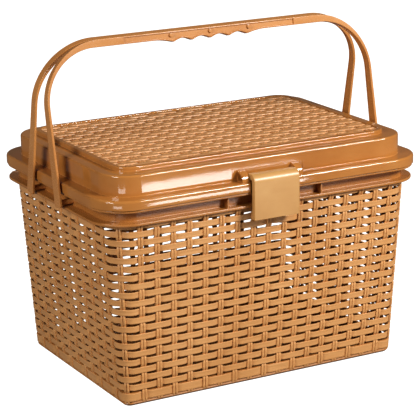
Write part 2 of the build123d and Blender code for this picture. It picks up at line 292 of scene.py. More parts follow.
def finish_piece(shape, name, body, material, node, flat=False):
    """Turn a bmesh into a piece that rides on a body and stands for a CAD node."""
    bmesh.ops.recalc_face_normals(shape, faces=shape.faces)
    open_edges = sum(not edge.is_manifold for edge in shape.edges)
    mesh = bpy.data.meshes.new(name)
    shape.to_mesh(mesh)
    shape.free()
    mesh.materials.append(material)
    mesh.shade_smooth()
    mesh.set_sharp_from_angle(angle=CREASE)
    piece = bpy.data.objects.new(name, mesh)
    bpy.context.collection.objects.link(piece)
    if flat:
        keep_flat = piece.modifiers.new("Keep_Flat", "WEIGHTED_NORMAL")
        keep_flat.keep_sharp, keep_flat.weight = True, 100
    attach(piece, body)
    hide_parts(node)
    triangles = sum(len(face.vertices) - 2 for face in mesh.polygons)
    print(f"{name}: {triangles} triangles, {open_edges} open edges")
    return piece


# %% [markdown]
# ## Three small helpers
# Rounding edges, rounding corner points and adding one shape to another come up all the time.
# The bevel operator's defaults differ from the editor's, so they are set here once.
# %% Round and join
def round_edges(shape, edges, radius, segments=2, clamp=False):
    """Bevel edges with a round profile."""
    bmesh.ops.bevel(shape, geom=edges, offset=radius, affect="EDGES", segments=segments,
                    profile=0.5, material=-1, clamp_overlap=clamp)


def round_corners(shape, verts, radius, segments):
    """Bevel the vertices of a flat face or an open line with a round profile."""
    bmesh.ops.bevel(shape, geom=verts, offset=radius, affect="VERTICES", segments=segments,
                    profile=0.5, material=-1)


def join_shape(shape, part):
    """Add a finished bmesh to another one and free it."""
    carrier = bpy.data.meshes.new("carrier")
    part.to_mesh(carrier)
    part.free()
    shape.from_mesh(carrier)
    bpy.data.meshes.remove(carrier)


# %% [markdown]
# ## The wall as a map
# The wall is a rounded rectangle that grows as it rises, with a rounded edge at its foot. All
# the strands lie on it, so it helps to have one function that answers: which point is `turn`
# stakes round from the middle of the front, `climb` metres up and `out` metres in front of the
# surface? The stakes fan out as they rise, and most at the corners. So a turn is first changed
# into a distance along the outline, by straight steps between a few marks on each quarter, and
# the distance is then walked along the flat side and round the corner's arc.
# %% Wall map
GAP_LONG, FAN_LONG = 0.0184, 0.0055     # between stakes on the long sides, and its growth
GAP_END, FAN_END = 0.0189, 0.0080       # the same on the ends, both for each metre of height
LONG_STEPS, CORNER_STEPS, END_STEPS = 8, 2, 5
QUARTER_TURN = LONG_STEPS + CORNER_STEPS + END_STEPS
STAKES = 4 * QUARTER_TURN
FOOT_HALF_X, FOOT_HALF_Y, FOOT_CORNER = 0.1705, 0.1186, 0.0095
CORNER_GROWTH, LEAST_CORNER = 0.12, 0.002
TAPER = radians(4.7)
EDGE = 0.008                            # radius of the rounded edge under the wall
EDGE_TOP = EDGE * (1 - sin(TAPER))


def wall_section(climb, out=0.0):
    """How far a point of the wall's section stands beyond its foot line, and its height."""
    if climb >= EDGE_TOP:
        lean, push, height = TAPER, climb * tan(TAPER), climb
    else:
        lean = min(TAPER + (EDGE_TOP - climb) / EDGE, pi / 2)
        inward = max(0.0, EDGE_TOP - climb - EDGE * (pi / 2 - TAPER))
        push = EDGE_TOP * tan(TAPER) + EDGE * (cos(lean) - cos(TAPER)) - inward
        height = EDGE - EDGE * sin(lean)
    return push + out * cos(lean), height - out * sin(lean)


def wall_ring(climb, out=0.0):
    """The wall's outline at a height: half length, half width, corner radius and height."""
    push, height = wall_section(climb, out)
    above = max(climb, 0.0)
    corner = FOOT_CORNER + CORNER_GROWTH * above + push - above * tan(TAPER)
    return FOOT_HALF_X + push, FOOT_HALF_Y + push, max(corner, LEAST_CORNER), height


def distance_round(turn, climb, outline):
    """How far along the outline a turn of the first quarter lies from the front's middle."""
    half_x, half_y, corner, _ = outline
    quarter = half_x + half_y - 2 * corner + pi / 2 * corner
    marks = ((0, 0.0),
             (LONG_STEPS, LONG_STEPS * (GAP_LONG + FAN_LONG * climb)),
             (LONG_STEPS + CORNER_STEPS / 2, half_x - corner + pi / 4 * corner),
             (LONG_STEPS + CORNER_STEPS, quarter - END_STEPS * (GAP_END + FAN_END * climb)),
             (QUARTER_TURN, quarter))
    for (low, start), (high, stop) in zip(marks, marks[1:]):
        if turn <= high:
            break
    return start + (stop - start) * (turn - low) / (high - low)


def on_wall(turn, climb, out=0.0, aside=0.0):
    """The point of the wall map, shifted `aside` metres along the wall."""
    outline = wall_ring(climb)
    half_x, half_y, corner, _ = outline
    push, height = wall_section(climb, out)
    stand_off = push - wall_section(climb)[0]
    turn = (turn + 2 * QUARTER_TURN) % STAKES - 2 * QUARTER_TURN
    side = copysign(1, turn)
    facing = -1 if abs(turn) <= QUARTER_TURN else 1
    turn = QUARTER_TURN - abs(QUARTER_TURN - abs(turn))
    way = distance_round(turn, max(climb, 0.0), outline) - side * facing * aside
    past_front = way - (half_x - corner)
    angle = min(max(past_front / corner, 0.0), pi / 2)
    past_corner = max(past_front - pi / 2 * corner, 0.0)
    x = min(way, half_x - corner) + sin(angle) * (corner + stand_off)
    y = past_corner - (half_y - corner) - cos(angle) * (corner + stand_off)
    return Vector((side * x, -facing * y, height))


print("stakes:", STAKES, " wall at the foot:", [round(1000 * c, 1) for c in on_wall(0, 0.02)])

# %% [markdown]
# ## Wefts of the wall
# A weft is a flat strand that runs right round the tub, over one stake and under the next. It
# could be one long box bent round the wall, but a ring is simpler: its section, a strip with
# rounded edges and a shallow dish between two rims, is spun once round a circle, and then each
# vertex is carried from the circle to the wall. The angle gives the place round the basket, so
# the ring closes by itself. Neighbouring rows go over opposite stakes.
# %% Weft section and wave
ROW_GAP = 0.00961            # between the middles of neighbouring rows
FIRST_SLOT = 0.0174          # height of the lowest row of slots
ROWS = 21
WEFT_HEIGHT, WEFT_THICK, WEFT_BACK = 0.0068, 0.0022, 0.88
STRAND_ROUND, STRAND_DISH, DISH_SPREAD = 0.0005, 0.00015, 2.0
WAVE = 0.0017                # how deep a strand dips at a crossing
WEFT_DIVE, STAKE_DIVE = (0.58, 0.84), (0.42, 0.72)
SPIN_STEPS = 8 * STAKES


def wave(phase, dive):
    """0 where the strand is on top (even phase), -WAVE where it is below (odd phase).

    A strand stays level until it is close to the one it goes under. `dive` says where its
    descent starts and ends, as parts of the way from an upper crossing to a lower one.
    """
    start, end = dive
    part = min(max((abs((phase + 1) % 2 - 1) - start) / (end - start), 0.0), 1.0)
    return -WAVE * part * part * (3 - 2 * part)


def strip_section(shape, height, thick, edge_round, dish):
    """The outline of a flat strand in the XZ plane: its outer face is at x = 0.

    The back is narrower than the face, as a moulding needs for draft, so the slots between two
    strands look sharp from every side.
    """
    corners = bmesh.ops.create_grid(shape, x_segments=1, y_segments=1, size=0.5)["verts"]
    bmesh.ops.scale(shape, vec=(thick, height, 1), verts=corners)
    bmesh.ops.rotate(shape, matrix=Matrix.Rotation(pi / 2, 3, "X"), verts=corners)
    bmesh.ops.translate(shape, vec=(-thick / 2, 0, 0), verts=corners)
    back = [v for v in corners if v.co.x < -thick / 2]
    bmesh.ops.scale(shape, vec=(1, 1, WEFT_BACK), verts=back)
    round_corners(shape, corners, edge_round, 2)
    outer = [e for e in shape.edges if all(v.co.x > -1e-6 for v in e.verts)]
    middle = bmesh.ops.subdivide_edges(shape, edges=outer, cuts=2)["geom_inner"]
    middle = [v for v in middle if isinstance(v, bmesh.types.BMVert)]
    bmesh.ops.scale(shape, vec=(1, 1, DISH_SPREAD), verts=middle)
    bmesh.ops.translate(shape, vec=(-dish, 0, 0), verts=middle)
    bmesh.ops.delete(shape, geom=shape.faces[:], context="FACES_ONLY")


def add_weft(shape, row):
    """Spin one weft's section and carry the ring onto the wall."""
    height = ROW_GAP if row == 0 else WEFT_HEIGHT    # the lowest one reaches down to the base
    middle = FIRST_SLOT + ROW_GAP * (row - 0.5) - (height - WEFT_HEIGHT) / 2
    ring = bmesh.new()
    strip_section(ring, height, WEFT_THICK, STRAND_ROUND, STRAND_DISH)
    bmesh.ops.translate(ring, vec=(1, 0, 0), verts=ring.verts)
    bmesh.ops.spin(ring, geom=ring.edges[:] + ring.verts[:], cent=(0, 0, 0), axis=(0, 0, 1),
                   dvec=(0, 0, 0), angle=2 * pi, steps=SPIN_STEPS, use_merge=True,
                   use_normal_flip=False, use_duplicate=False)
    for vert in ring.verts:
        turn = atan2(vert.co.y, vert.co.x) / (2 * pi) * STAKES
        out = hypot(vert.co.x, vert.co.y) - 1 + wave(turn + row + 1, WEFT_DIVE)
        vert.co = on_wall(turn, middle + vert.co.z, out)
    join_shape(shape, ring)


# %% Lay the wefts
for name, rows in (("tub_weft_lower", range(ROWS // 2)), ("tub_weft_upper", range(ROWS // 2, ROWS))):
    wefts = bmesh.new()
    for row in rows:
        add_weft(wefts, row)
    finish_piece(wefts, name, "tub", wall_weft_plastic, "tub")

# %% [markdown]
# ## Stakes of the wall
# A stake is a pair of round ribs side by side with a groove between them. It climbs the wall and
# takes the wave that the wefts leave: on top where the weft is below. One straight rib is
# extruded in even steps, and every stake takes two copies of it, each carried onto the wall.
# At the foot they all come to the front and curl under the rounded edge.
# %% Straight rib
RIB_WIDTH, RIB_THICK, RIB_ROUND = 0.0031, 0.0017, 0.0011
STAKE_LOW, STAKE_HIGH = 0.0022, 0.2075
RIB_STEPS = 108
RIB_SPREAD = 0.52            # from a stake's middle to each rib's, in rib widths

rib = bmesh.new()
rib_ends = bmesh.ops.create_grid(rib, x_segments=1, y_segments=1, size=0.5)["verts"]
bmesh.ops.scale(rib, vec=(RIB_WIDTH, RIB_THICK, 1), verts=rib_ends)
bmesh.ops.translate(rib, vec=(0, RIB_THICK / 2, STAKE_LOW), verts=rib_ends)
front_corners = [v for v in rib.verts if v.co.y < RIB_THICK / 2]
round_corners(rib, front_corners, RIB_ROUND, 2)
bmesh.ops.spin(rib, geom=rib.faces[:] + rib.edges[:] + rib.verts[:], cent=(0, 0, 0),
               axis=(0, 0, 1), dvec=(0, 0, (STAKE_HIGH - STAKE_LOW) / RIB_STEPS), angle=0,
               steps=RIB_STEPS, use_merge=False, use_normal_flip=False, use_duplicate=False)
straight_rib = bpy.data.meshes.new("straight_rib")
rib.to_mesh(straight_rib)
rib.free()
print("one rib:", len(straight_rib.vertices), "vertices")

# %% Set the stakes
def set_stake(shape, stake):
    """Carry two ribs onto the wall at one stake's place."""
    lowest_row = -(stake % 2)
    for side in (-1, 1):
        shape.verts.ensure_lookup_table()
        first = len(shape.verts)
        shape.from_mesh(straight_rib)
        shape.verts.ensure_lookup_table()
        for vert in shape.verts[first:]:
            row = max((vert.co.z - FIRST_SLOT) / ROW_GAP + 0.5, lowest_row)
            out = wave(row + stake, STAKE_DIVE) - vert.co.y
            vert.co = on_wall(stake, vert.co.z, out, side * RIB_WIDTH * RIB_SPREAD + vert.co.x)


for name, first in (("tub_stakes_even", 0), ("tub_stakes_odd", 1)):
    stakes = bmesh.new()
    for stake in range(first, STAKES, 2):
        set_stake(stakes, stake)
    finish_piece(stakes, name, "tub", stake_plastic, "tub")
bpy.data.meshes.remove(straight_rib)

# %% [markdown]
# ## Rounded rings, stacked
# The base, the rims and the lid are all rounded rectangles whose size changes with height, like
# a lampshade. A ring starts as a square grid face, scaled, whose four corners are bevelled as
# vertices: with a profile of 0.5 each becomes a quarter circle. Every ring has the same number
# of vertices, so bridging one to the next gives clean quads, and a bevel along a chosen ring
# rounds that edge as a moulding tool would.
# %% Stack of rings
ARC_STEPS = 16
TOWER_FLOOR = 0.1


def ring_edges(shape, half_x, half_y, corner, z):
    """Draw one rounded rectangle and give its edges."""
    quad = bmesh.ops.create_grid(shape, x_segments=1, y_segments=1, size=1)["verts"]
    bmesh.ops.scale(shape, vec=(half_x, half_y, 1), verts=quad)
    bmesh.ops.translate(shape, vec=(0, 0, z), verts=quad)
    round_corners(shape, quad, corner, ARC_STEPS)
    (face,) = shape.faces
    edges = face.edges[:]
    bmesh.ops.delete(shape, geom=[face], context="FACES_ONLY")
    return edges


def stack_rings(shape, outlines, rounding, closed):
    """Bridge rings in turn, close the stack or cap its ends, then round the chosen rings.

    Two rings at one height give the bridge no direction to go in, so the rings are drawn as a
    tower with even floors and lowered to their own heights once they are joined.
    """
    rings = [ring_edges(shape, *outline[:3], TOWER_FLOOR * floor)
             for floor, outline in enumerate(outlines)]
    for lower, upper in zip(rings, rings[1:]):
        bmesh.ops.bridge_loops(shape, edges=lower + upper)
    if closed:
        bmesh.ops.bridge_loops(shape, edges=rings[-1] + rings[0])
    else:
        for ring in (rings[0], rings[-1]):
            bmesh.ops.contextual_create(shape, geom=ring)
    for floor, (ring, outline) in enumerate(zip(rings, outlines)):
        verts = list({vert for edge in ring for vert in edge.verts})
        bmesh.ops.translate(shape, vec=(0, 0, outline[3] - TOWER_FLOOR * floor), verts=verts)
    bmesh.ops.recalc_face_normals(shape, faces=shape.faces)
    for index, radius in rounding.items():
        round_edges(shape, rings[index], radius, 3, clamp=True)


def add_block(shape, low, high, edge_round=0.0, segments=2):
    """A block between two corners, with its edges rounded."""
    verts = bmesh.ops.create_cube(shape, size=1)["verts"]
    size = [b - a for a, b in zip(low, high)]
    bmesh.ops.scale(shape, vec=size, verts=verts)
    bmesh.ops.translate(shape, vec=[(a + b) / 2 for a, b in zip(low, high)], verts=verts)
    if edge_round:
        edges = list({edge for vert in verts for edge in vert.link_edges})
        round_edges(shape, edges, edge_round, segments)


# %% [markdown]
# ## Base of the tub
# Under the lowest row of slots the moulding is closed. A shell stands behind the lowest weft,
# comes forward below it as a plain band, turns under with the rounded edge and becomes a foot
# ring. Inside, the same stack goes down the wall and across the floor.
# %% Base
BAND_SET_BACK, FOOT_PROUD = -0.0011, 0.0001
SHELL_BACK, SHELL_FRONT, SHELL_TOP = -0.0036, -0.0019, 0.0160
FLOOR_INSET, FLOOR_HIGH = 0.0040, 0.0036
FOOT_CLIMBS = (0.0036, 0.0020, 0.0005, -0.0010, -0.0025, -0.0045)

base = bmesh.new()
base_rings = [
    (FOOT_HALF_X - FLOOR_INSET, FOOT_HALF_Y - FLOOR_INSET, FOOT_CORNER - FLOOR_INSET, FLOOR_HIGH),
    wall_ring(SHELL_TOP, SHELL_BACK),
    wall_ring(SHELL_TOP, SHELL_FRONT),
    wall_ring(0.0074, SHELL_FRONT),
    wall_ring(0.0068, BAND_SET_BACK),
    wall_ring(0.0046, BAND_SET_BACK),
    *(wall_ring(climb, FOOT_PROUD) for climb in FOOT_CLIMBS),
    wall_ring(-0.0095, 0.0),
    wall_ring(-0.0105, -0.0008),
]
stack_rings(base, base_rings, {0: 0.003}, closed=False)
finish_piece(base, "tub_base", "tub", tub_plastic, "tub", flat=True)

# %% [markdown]
# ## Ledge, gutter and rim
# Above the weave a plain band meets a ledge. A collar rises from the ledge, set back so that a
# gutter is left, and carries the rim that the lid sits on. The handle pegs cross the gutter at
# the ends, thin ribs cross it beside the latches, and a fine seam shows at each corner where
# the halves of the moulding tool met. The section is one closed stack of rings.
# %% Rim
LEDGE = (0.1982, 0.1402, 0.0400)
COLLAR = (0.1865, 0.1304, 0.0300)
RIM = (0.1978, 0.1424, 0.0396)
MOUTH = (0.1841, 0.1280, 0.0276)
LEDGE_LOW, LEDGE_HIGH, RIM_LOW, RIM_HIGH = 0.2060, 0.2090, 0.2212, 0.2237
BAND_LOW = 0.2030                # the rim's skirt, behind the highest weft, starts here
SKIRT_FRONT, SKIRT_BACK = -0.0033, -0.0046

rim = bmesh.new()
rim_rings = [
    wall_ring(BAND_LOW, SKIRT_FRONT),
    wall_ring(LEDGE_LOW, SKIRT_FRONT),
    (*LEDGE, LEDGE_LOW),
    (*LEDGE, LEDGE_HIGH),
    (*COLLAR, LEDGE_HIGH),
    (*COLLAR, RIM_LOW),
    (*RIM, RIM_LOW),
    (*RIM, RIM_HIGH),
    (*MOUTH, RIM_HIGH),
    (*MOUTH, LEDGE_LOW),
    wall_ring(LEDGE_LOW, SKIRT_BACK),
    wall_ring(BAND_LOW, SKIRT_BACK),
]
stack_rings(rim, rim_rings, {2: 0.0008, 3: 0.0008, 4: 0.0009, 6: 0.0007, 7: 0.0007, 8: 0.0006},
            closed=True)

# %% Ribs and seams of the gutter
RIB_X, RIB_SHIFT, GUTTER_RIB = 0.0580, 0.0044, 0.0018
RIB_ROOT, RIB_TIP = 0.0006, 0.0012     # how far a rib sinks in, and stops short of the ledge's edge
for facing in (-1, 1):
    for side in (-1, 1):
        near, far = sorted((facing * (COLLAR[1] - 0.0005), facing * (LEDGE[1] - RIB_TIP)))
        middle = side * RIB_X - facing * RIB_SHIFT
        add_block(rim, (middle - GUTTER_RIB / 2, near, LEDGE_HIGH - RIB_ROOT),
                  (middle + GUTTER_RIB / 2, far, RIM_LOW + RIB_ROOT), 0.0003)

SEAM = 0.0007
for side in (-1, 1):
    for facing in (-1, 1):
        reach = (COLLAR[0] - COLLAR[2], COLLAR[1] - COLLAR[2])
        direction = Vector((side, facing, 0)).normalized()
        start = Vector((side * reach[0], facing * reach[1], 0)) + direction * COLLAR[2]
        outer = Vector((side * (LEDGE[0] - LEDGE[2]), facing * (LEDGE[1] - LEDGE[2]), 0))
        run = (outer + direction * LEDGE[2] - start).length - 0.0008
        seam = bmesh.new()
        add_block(seam, (-0.0003, -SEAM / 2, LEDGE_HIGH - 0.0004), (0.0005, SEAM / 2, RIM_LOW + 0.0003),
                  0.0002)
        add_block(seam, (0, -SEAM / 2, LEDGE_HIGH - 0.0004), (run, SEAM / 2, LEDGE_HIGH + 0.0004),
                  0.0002)
        add_block(seam, (run - 0.0012, -0.0008, LEDGE_HIGH - 0.0006),
                  (run + 0.0004, 0.0008, LEDGE_HIGH + 0.0006), 0.0003)
        turn_to_corner = Matrix.Rotation(atan2(direction.y, direction.x), 4, "Z")
        bmesh.ops.transform(seam, matrix=Matrix.Translation(start) @ turn_to_corner, verts=seam.verts)
        join_shape(rim, seam)
finish_piece(rim, "tub_rim", "tub", tub_plastic, "tub", flat=True)

# %% [markdown]
# ## Lid shell
# The lid is one thin moulding: a flange with a rolled edge that covers the tub's rim, a domed
# wall, a frame round the top panel, and a lip below that drops into the tub's mouth. All of
# them are rings of one stack, from the sunk floor of the panel out over the dome, round the
# skirt, down and up the lip and back under the panel.
# %% Lid rings
FLANGE = (0.1992, 0.1438, 0.0410)
FLANGE_INSIDE = (0.1968, 0.1414, 0.0386)
DOME = (0.1847, 0.1296, 0.0340)
DOME_INSIDE = (0.1821, 0.1270, 0.0314)
PANEL = (0.1680, 0.1125, 0.0200)
PANEL_SUNK = (0.1620, 0.1065, 0.0140)
PANEL_INSIDE = (0.1654, 0.1099, 0.0174)
LIP = (0.1836, 0.1275, 0.0271)
LIP_INSIDE = (0.1816, 0.1255, 0.0251)
FLANGE_LOW, FLANGE_HIGH, FLANGE_UNDER = 0.2240, 0.2347, 0.2323
DOME_HIGH, DOME_UNDER, PANEL_HIGH, LIP_LOW = 0.2574, 0.2548, 0.2620, 0.2172
PANEL_FLOOR, PANEL_UNDER = 0.2590, 0.2576

lid = bmesh.new()
lid_rings = [
    (*PANEL_SUNK, PANEL_FLOOR),
    (*PANEL_SUNK, PANEL_HIGH),
    (*PANEL, PANEL_HIGH),
    (*PANEL, DOME_HIGH),
    (*DOME, DOME_HIGH),
    (*DOME, FLANGE_HIGH),
    (*FLANGE, FLANGE_HIGH),
    (*FLANGE, FLANGE_LOW),
    (*FLANGE_INSIDE, FLANGE_LOW),
    (*FLANGE_INSIDE, FLANGE_UNDER),
    (*LIP, FLANGE_UNDER),
    (*LIP, LIP_LOW),
    (*LIP_INSIDE, LIP_LOW),
    (*LIP_INSIDE, FLANGE_UNDER + 0.0012),
    (*DOME_INSIDE, FLANGE_UNDER + 0.0012),
    (*DOME_INSIDE, DOME_UNDER),
    (*PANEL_INSIDE, DOME_UNDER),
    (*PANEL_INSIDE, PANEL_UNDER),
]
stack_rings(lid, lid_rings, {1: 0.0008, 2: 0.0014, 3: 0.0008, 4: 0.0024, 5: 0.0008, 6: 0.0026,
                             7: 0.0007, 8: 0.0005, 11: 0.0005, 12: 0.0005}, closed=False)

# %% [markdown]
# ## Notches and hinge ears
# Each latch sits in a notch in the skirt, so its face can lie close to the tub. The notch is a
# plain box cut, which the Boolean modifier does cleanly once the shell is closed. Beside the
# notch stand two ears that hold the hinge pins: quarter-round blocks against the dome, cored
# out from their outer ends so that the plastic stays thin. An ear is a cube with one edge
# bevelled wide, and its pocket is an inset face pushed in.
# %% Cut the notches
NOTCH_HALF = 0.029


def cut_boxes(mesh_shape, boxes):
    """Take boxes out of a closed bmesh with an exact Boolean and give the result."""
    target_mesh, cutter_mesh = bpy.data.meshes.new("target"), bpy.data.meshes.new("cutter")
    bmesh.ops.recalc_face_normals(mesh_shape, faces=mesh_shape.faces)
    mesh_shape.to_mesh(target_mesh)
    mesh_shape.free()
    cutter = bmesh.new()
    for low, high in boxes:
        add_block(cutter, low, high)
    cutter.to_mesh(cutter_mesh)
    cutter.free()
    target = bpy.data.objects.new("target", target_mesh)
    tool = bpy.data.objects.new("cutter", cutter_mesh)
    for item in (target, tool):
        bpy.context.collection.objects.link(item)
    cut = target.modifiers.new("cut", "BOOLEAN")
    cut.operation, cut.solver, cut.object = "DIFFERENCE", "EXACT", tool
    evaluated = target.evaluated_get(bpy.context.evaluated_depsgraph_get())
    result = bmesh.new()
    result.from_mesh(evaluated.to_mesh())
    evaluated.to_mesh_clear()
    for item, data in ((target, target_mesh), (tool, cutter_mesh)):
        bpy.data.objects.remove(item)
        bpy.data.meshes.remove(data)
    return result


notches = []
for facing in (-1, 1):
    near, far = sorted((facing * FLANGE_INSIDE[1], facing * (FLANGE[1] + 0.002)))
    notches.append(((-NOTCH_HALF, near, FLANGE_LOW - 0.001), (NOTCH_HALF, far, FLANGE_HIGH + 0.001)))
lid = cut_boxes(lid, notches)

# %% Hinge ears
EAR_INNER, EAR_OUTER, EAR_RADIUS, EAR_CENTRE = 0.0288, 0.0375, 0.0113, 0.1302
EAR_SKIN, EAR_CHEEK = 0.0018, 0.0025
POCKET_DRAFT, EAR_ROUND = 0.0003, 0.0005

for facing in (-1, 1):
    for side in (-1, 1):
        ear = bmesh.new()
        add_block(ear, (EAR_INNER, -EAR_CENTRE - EAR_RADIUS, FLANGE_HIGH - 0.0010),
                  (EAR_OUTER, -DOME[1] + 0.0012, FLANGE_HIGH + EAR_RADIUS))
        (roll,) = [e for e in ear.edges if all(v.co.z > FLANGE_HIGH + 0.005 and
                                               v.co.y < -EAR_CENTRE for v in e.verts)]
        round_edges(ear, [roll], EAR_RADIUS - 0.0002, 12)
        outer_end = max(ear.faces, key=lambda face: face.calc_center_median().x)
        bmesh.ops.inset_region(ear, faces=[outer_end], thickness=EAR_SKIN, depth=0,
                               use_even_offset=True)
        bmesh.ops.inset_region(ear, faces=[outer_end], thickness=POCKET_DRAFT,
                               depth=-(EAR_OUTER - EAR_INNER - EAR_CHEEK), use_even_offset=True)
        rims = [e for e in ear.edges if len(e.link_faces) == 2
                and e.calc_face_angle() > radians(60)
                and all(abs(v.co.x - EAR_OUTER) < 1e-5 or abs(v.co.x - EAR_INNER) < 1e-5
                        for v in e.verts)]
        round_edges(ear, rims, EAR_ROUND)
        bmesh.ops.scale(ear, vec=(side, -facing, 1), verts=ear.verts)
        if side != -facing:
            bmesh.ops.reverse_faces(ear, faces=ear.faces)
        join_shape(lid, ear)
finish_piece(lid, "lid_shell", "lid", lid_plastic, "lid", flat=True)

# %% [markdown]
# ## Woven-look panel
# The panel in the lid is the same weave laid flat, but closed behind, so its slots are only
# deep dimples. A weft is a long box with rounded edges, cut into even steps along its length,
# and a stake is a pair of ribs across them. Each vertex is then lowered by the wave.
# %% Panel weave
PANEL_ROWS, PANEL_ROW_GAP = 22, 0.00965
PANEL_STAKES, PANEL_STAKE_GAP = 17, 0.0186
PANEL_WEFT, PANEL_WAVE_STEPS = 0.0083, 8
PANEL_TOP = 0.2613
STRAND_UNDER, STRAND_THICK = 0.2582, 0.0028
PANEL_DIP = 0.0024               # how deep a strand dips
PANEL_WEFT_ROUND, PANEL_STAKE_ROUND, STAKE_WAVE_STEPS = 0.0008, 0.0011, 6


def straight_strand(size, divide_axis, cuts, edge_round, name):
    """A bar along X or Y whose long upper edges are rounded, divided evenly along its length."""
    bar = bmesh.new()
    verts = bmesh.ops.create_cube(bar, size=1)["verts"]
    bmesh.ops.scale(bar, vec=size, verts=verts)
    long_edges = [e for e in bar.edges if abs((e.verts[0].co - e.verts[1].co)[divide_axis]) > 1e-4]
    upper = [e for e in long_edges if e.verts[0].co.z > 0]
    round_edges(bar, upper, edge_round)
    long_edges = [e for e in bar.edges
                  if abs((e.verts[0].co - e.verts[1].co)[divide_axis]) > size[divide_axis] * 0.9]
    bmesh.ops.subdivide_edges(bar, edges=long_edges, cuts=cuts, use_grid_fill=True)
    mesh = bpy.data.meshes.new(name)
    bar.to_mesh(mesh)
    bar.free()
    return mesh


def lay_strands(name, mesh, places, lower, material):
    """Copies of a strand at the given places, each vertex lowered by `lower(x, y, strand)`."""
    laid = bmesh.new()
    for number, (x, y) in places:
        laid.verts.ensure_lookup_table()
        first = len(laid.verts)
        laid.from_mesh(mesh)
        laid.verts.ensure_lookup_table()
        fresh = laid.verts[first:]
        bmesh.ops.translate(laid, vec=(x, y, 0), verts=fresh)
        for vert in fresh:
            top = vert.co.z > 0
            drop = lower(vert.co.x, vert.co.y, number)
            vert.co.z = PANEL_TOP + (vert.co.z - STRAND_THICK / 2) + drop if top else STRAND_UNDER
    bpy.data.meshes.remove(mesh)
    return finish_piece(laid, name, "lid", material, "lid")


def panel_wave(phase, dive):
    """The wall's wave, scaled to the panel's shallower relief."""
    return wave(phase, dive) * PANEL_DIP / WAVE


weft_bar = straight_strand((2 * PANEL_SUNK[0], PANEL_WEFT, STRAND_THICK), 0,
                           PANEL_STAKES * PANEL_WAVE_STEPS, PANEL_WEFT_ROUND, "panel_weft_bar")
weft_places = [(row, (0, (row - (PANEL_ROWS - 1) / 2) * PANEL_ROW_GAP)) for row in range(PANEL_ROWS)]
lay_strands("lid_panel_weft", weft_bar, weft_places,
            lambda x, y, row: panel_wave(x / PANEL_STAKE_GAP + row + 1, WEFT_DIVE), panel_weft_plastic)

stake_bar = straight_strand((RIB_WIDTH, 2 * PANEL_SUNK[1], STRAND_THICK), 1,
                            PANEL_ROWS * STAKE_WAVE_STEPS, PANEL_STAKE_ROUND, "panel_stake_bar")
half_stakes = PANEL_STAKES // 2
stake_places = [(stake, (stake * PANEL_STAKE_GAP + side * RIB_WIDTH * RIB_SPREAD, 0))
                for stake in range(-half_stakes, half_stakes + 1) for side in (-1, 1)]
lay_strands("lid_panel_stakes", stake_bar, stake_places,
            lambda x, y, stake: panel_wave(y / PANEL_ROW_GAP + (PANEL_ROWS - 1) / 2 + stake,
                                           STAKE_DIVE), panel_stake_plastic)

# %% [markdown]
# ## Latches
# A latch is a wide plate bent at a right angle. It starts as three points: bevelling the middle
# one as a vertex makes the bend, extruding the line gives the sheet, and solidify gives it its
# thickness. The side edges are returned deeper, which stiffens the clip, and a knuckle at the
# top carries the pins. The rear latch is the front one turned half round.
# %% Latch
LATCH_HALF, LATCH_PLATE, LATCH_SHOULDER, LATCH_RETURN = 0.0280, 0.0024, 0.0080, 0.0034
HINGE_OUT, HINGE_HIGH, KNUCKLE, PIN = 0.1368, 0.2393, 0.0038, 0.0020
LATCH_FACE, LATCH_LOW, LATCH_ROUND = 0.1500, 0.1940, 0.0007
BEAD, BEAD_LOW, BEAD_RAMP = 0.0044, 0.0058, 0.0040     # the bead snaps under the tub's rim
HALF_ROUND = Matrix.Rotation(pi, 4, "Z")


def add_rod(shape, radius, start, end, segments=32, edge_round=0.0004):
    """A round rod along X with softened ends."""
    made = bmesh.ops.create_cone(shape, cap_ends=True, segments=segments, radius1=radius,
                                 radius2=radius, depth=end.x - start.x)["verts"]
    bmesh.ops.rotate(shape, matrix=Matrix.Rotation(pi / 2, 3, "Y"), verts=made)
    bmesh.ops.translate(shape, vec=(start + end) / 2, verts=made)
    caps = {e for v in made for e in v.link_edges if abs(e.verts[0].co.x - e.verts[1].co.x) < 1e-6}
    round_edges(shape, list(caps), edge_round)


def latch_shape():
    """The bent plate of the front latch, extruded across its width and solidified."""
    shape = bmesh.new()
    top = HINGE_HIGH + KNUCKLE
    line = [shape.verts.new(p) for p in ((-LATCH_HALF, -HINGE_OUT, top),
                                         (-LATCH_HALF, -LATCH_FACE, top),
                                         (-LATCH_HALF, -LATCH_FACE, LATCH_LOW))]
    for pair in zip(line, line[1:]):
        shape.edges.new(pair)
    round_corners(shape, [line[1]], LATCH_SHOULDER, 10)
    for width in (LATCH_PLATE, 2 * (LATCH_HALF - LATCH_PLATE), LATCH_PLATE):
        last_x = max(v.co.x for v in shape.verts)
        rail = [e for e in shape.edges if all(abs(v.co.x - last_x) < 1e-7 for v in e.verts)]
        made = bmesh.ops.extrude_edge_only(shape, edges=rail)["geom"]
        bmesh.ops.translate(shape, vec=(width, 0, 0),
                            verts=[g for g in made if isinstance(g, bmesh.types.BMVert)])
    bmesh.ops.recalc_face_normals(shape, faces=shape.faces)
    front = max(shape.faces, key=lambda face: face.calc_area())
    if front.normal.y > 0:
        bmesh.ops.reverse_faces(shape, faces=shape.faces)
    bmesh.ops.solidify(shape, geom=shape.faces[:], thickness=LATCH_PLATE)
    shape.normal_update()
    return shape


def is_inside(face):
    """True on the faces of the bent plate that look at the tub."""
    normal, middle = face.normal, face.calc_center_median()
    hinge_end = normal.y > 0.9 and middle.y > -HINGE_OUT - 0.003
    lower_end = normal.z < -0.9 and middle.z < LATCH_LOW + 0.003
    return (normal.y > 0.1 or normal.z < -0.1) and not hinge_end and not lower_end


def sharp_edges(shape, least=radians(50)):
    """The edges where two faces meet at more than `least`."""
    return [e for e in shape.edges if len(e.link_faces) == 2 and e.calc_face_angle() > least]


